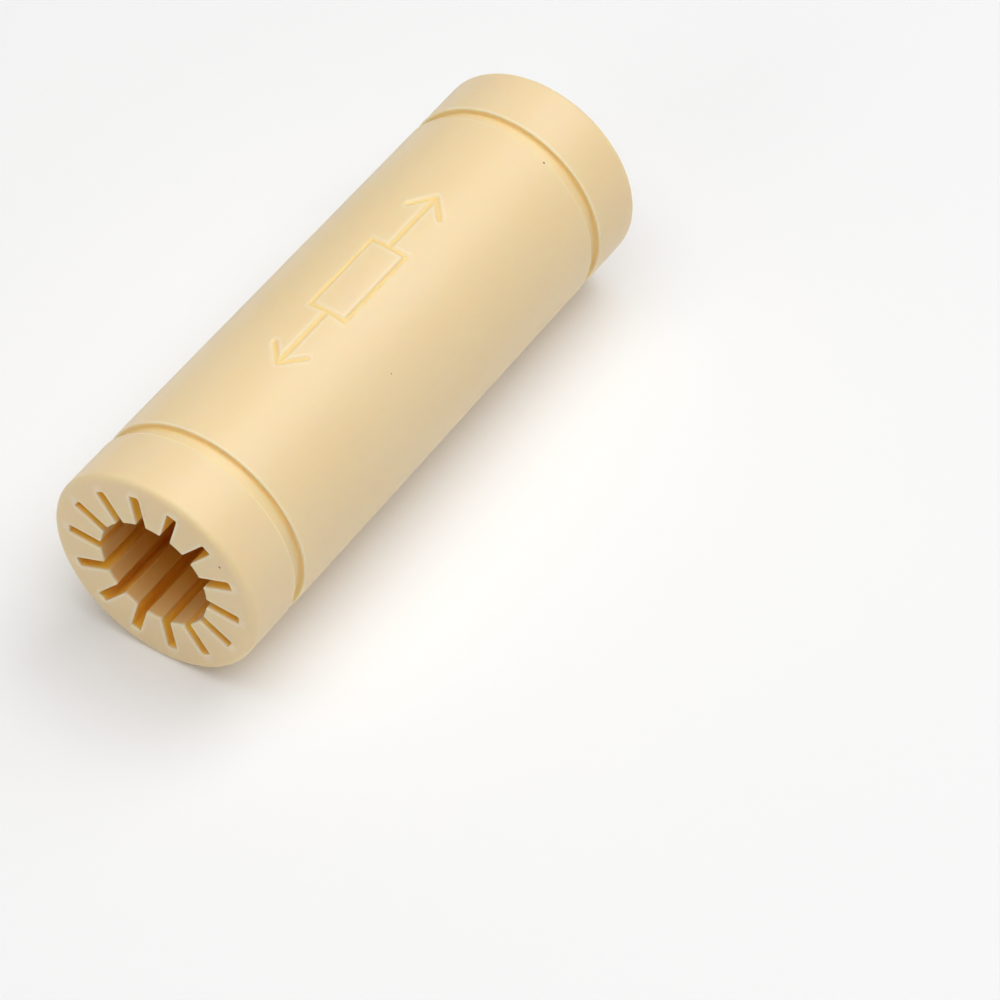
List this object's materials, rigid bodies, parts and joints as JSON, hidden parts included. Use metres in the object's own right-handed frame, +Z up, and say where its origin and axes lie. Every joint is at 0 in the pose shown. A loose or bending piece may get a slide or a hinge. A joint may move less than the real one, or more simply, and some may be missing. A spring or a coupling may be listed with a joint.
{
  "type": "linear plain bushing",
  "caption": "Long one-piece polymer linear bushing: a plain cylinder with retaining-ring grooves outside and a bore split into running lands by straight slots, to slide along a round shaft.",
  "frame": {"origin": "centre of the bore at mid-length", "axes": "+X along the bore, the way the shaft slides; +Z up with the part lying on its side, so that the engraved mark is on top, leaning 3.6 degrees towards -Y; +Y across"},
  "size_m": [0.055, 0.019, 0.019],
  "materials": {
    "bearing_polymer": "satin, as moulded, warm cream and slightly translucent"
  },
  "bodies": {
    "root": {"bushing_body": "bearing_polymer"}
  },
  "joints": []
}
